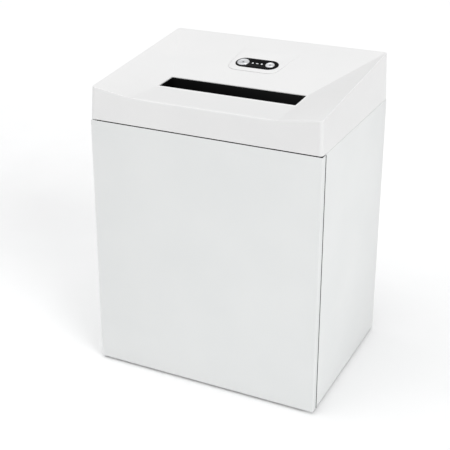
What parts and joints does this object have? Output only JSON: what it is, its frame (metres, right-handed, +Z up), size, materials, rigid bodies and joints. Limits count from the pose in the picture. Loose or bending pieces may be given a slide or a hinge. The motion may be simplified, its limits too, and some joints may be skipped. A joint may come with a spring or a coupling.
{
  "type": "paper shredder",
  "caption": "Free-standing cabinet paper shredder: laminated cabinet with a full-height door and pull-out bin, sloping moulded hood with a wide feed slot and a button panel.",
  "frame": {"origin": "middle of the footprint, on the floor under the glides", "axes": "+Z up, the door faces -Y, +X to the right when facing the door"},
  "size_m": [0.5, 0.384, 0.665],
  "materials": {
    "white_laminate": "white melamine-faced chipboard, satin",
    "white_plastic": "white moulded plastic, satin with a fine grain",
    "black_plastic": "black moulded plastic, matt",
    "gloss_black": "black moulded plastic, polished",
    "bin_grey": "dark grey moulded plastic",
    "silver_button": "satin silver-coated plastic",
    "steel": "zinc-plated steel",
    "cutter_steel": "hardened steel, oiled",
    "nylon": "natural nylon",
    "bronze": "sintered bronze",
    "green_board": "green solder mask",
    "clear_lens": "clear moulded light guide",
    "aluminium": "die-cast aluminium"
  },
  "bodies": {
    "root": {"cabinet_side_left": "white_laminate", "cabinet_side_right": "white_laminate", "cabinet_back_panel": "white_laminate", "cabinet_floor": "white_laminate", "head_shelf": "white_laminate", "front_rail": "white_laminate", "hood_cover": "white_plastic", "glide_front_left": "black_plastic", "glide_front_right": "black_plastic", "glide_rear_left": "black_plastic", "glide_rear_right": "black_plastic", "feed_throat": "black_plastic", "magnet_catch": "black_plastic", "door_reed_switch": "black_plastic", "head_tray": "black_plastic", "mains_inlet": "black_plastic", "rocker_frame": "black_plastic", "paper_sensor": "black_plastic", "motor_lead": "black_plastic", "control_bezel": "gloss_black", "waste_bin": "bin_grey", "pivot_leaf_top": "steel", "pivot_leaf_bottom": "steel", "side_plate_left": "steel", "side_plate_right": "steel", "tie_bar_front": "steel", "tie_bar_rear": "steel", "stripper_comb_front": "steel", "stripper_comb_rear": "steel", "middle_gear_axle": "steel", "first_gear_axle": "steel", "motor_housing": "steel", "bushing_front_left": "bronze", "bushing_front_right": "bronze", "bushing_rear_left": "bronze", "bushing_rear_right": "bronze", "control_board": "green_board", "light_guide": "clear_lens", "motor_shield_left": "aluminium", "motor_shield_right": "aluminium", "capacitor": "aluminium"},
    "door": {"door_panel": "white_laminate", "pivot_bush_top": "nylon", "pivot_bush_bottom": "nylon", "strike_plate": "steel", "door_magnet": "black_plastic"},
    "start_button": {"start_button": "silver_button"},
    "reverse_button": {"reverse_button": "silver_button"},
    "mains_rocker": {"mains_rocker": "gloss_black"},
    "rear_roller": {"cutter_roller_rear": "cutter_steel", "roller_gear_rear": "steel", "drive_gear": "steel"},
    "front_roller": {"cutter_roller_front": "cutter_steel", "roller_gear_front": "steel"},
    "middle_gear": {"middle_gear": "nylon"},
    "first_gear": {"first_gear": "nylon"},
    "motor_rotor": {"motor_rotor": "cutter_steel", "motor_pinion": "steel", "cooling_fan": "black_plastic"}
  },
  "joints": [
    {"name": "door_hinge", "type": "hinge", "parent": "root", "child": "door", "pos_m": [-0.244, -0.1855, 0.28], "axis": [0, 0, -1], "range_deg": [0, 110]},
    {"name": "start_press", "type": "slide", "parent": "root", "child": "start_button", "axis": [0, 0.219, -0.9757], "range_m": [0, 0.0015], "stiffness_N_per_m": 600, "springref_m": -0.0005},
    {"name": "reverse_press", "type": "slide", "parent": "root", "child": "reverse_button", "axis": [0, 0.219, -0.9757], "range_m": [0, 0.0015], "stiffness_N_per_m": 600, "springref_m": -0.0005},
    {"name": "mains_switch", "type": "hinge", "parent": "root", "child": "mains_rocker", "pos_m": [0.108, 0.1858, 0.62486], "axis": [1, 0, 0], "range_deg": [0, 16]},
    {"name": "rear_roller_spin", "type": "hinge", "parent": "root", "child": "rear_roller", "pos_m": [0, -0.0325, 0.5402], "axis": [1, 0, 0], "continuous": true},
    {"name": "front_roller_spin", "type": "hinge", "parent": "root", "child": "front_roller", "pos_m": [0, -0.0745, 0.5402], "axis": [1, 0, 0], "continuous": true},
    {"name": "middle_gear_spin", "type": "hinge", "parent": "root", "child": "middle_gear", "pos_m": [-0.19, 0.00421, 0.55732], "axis": [1, 0, 0], "continuous": true},
    {"name": "first_gear_spin", "type": "hinge", "parent": "root", "child": "first_gear", "pos_m": [-0.2, 0.03559, 0.56006], "axis": [1, 0, 0], "continuous": true},
    {"name": "motor_spin", "type": "hinge", "parent": "root", "child": "motor_rotor", "pos_m": [-0.1, 0.06796, 0.55723], "axis": [1, 0, 0], "continuous": true}
  ],
  "couplings": [
    {"joint": "front_roller_spin", "follows": "rear_roller_spin", "ratio": -1},
    {"joint": "middle_gear_spin", "follows": "rear_roller_spin", "ratio": -2.8571},
    {"joint": "first_gear_spin", "follows": "rear_roller_spin", "ratio": 9.1429},
    {"joint": "motor_spin", "follows": "rear_roller_spin", "ratio": -30.476}
  ]
}
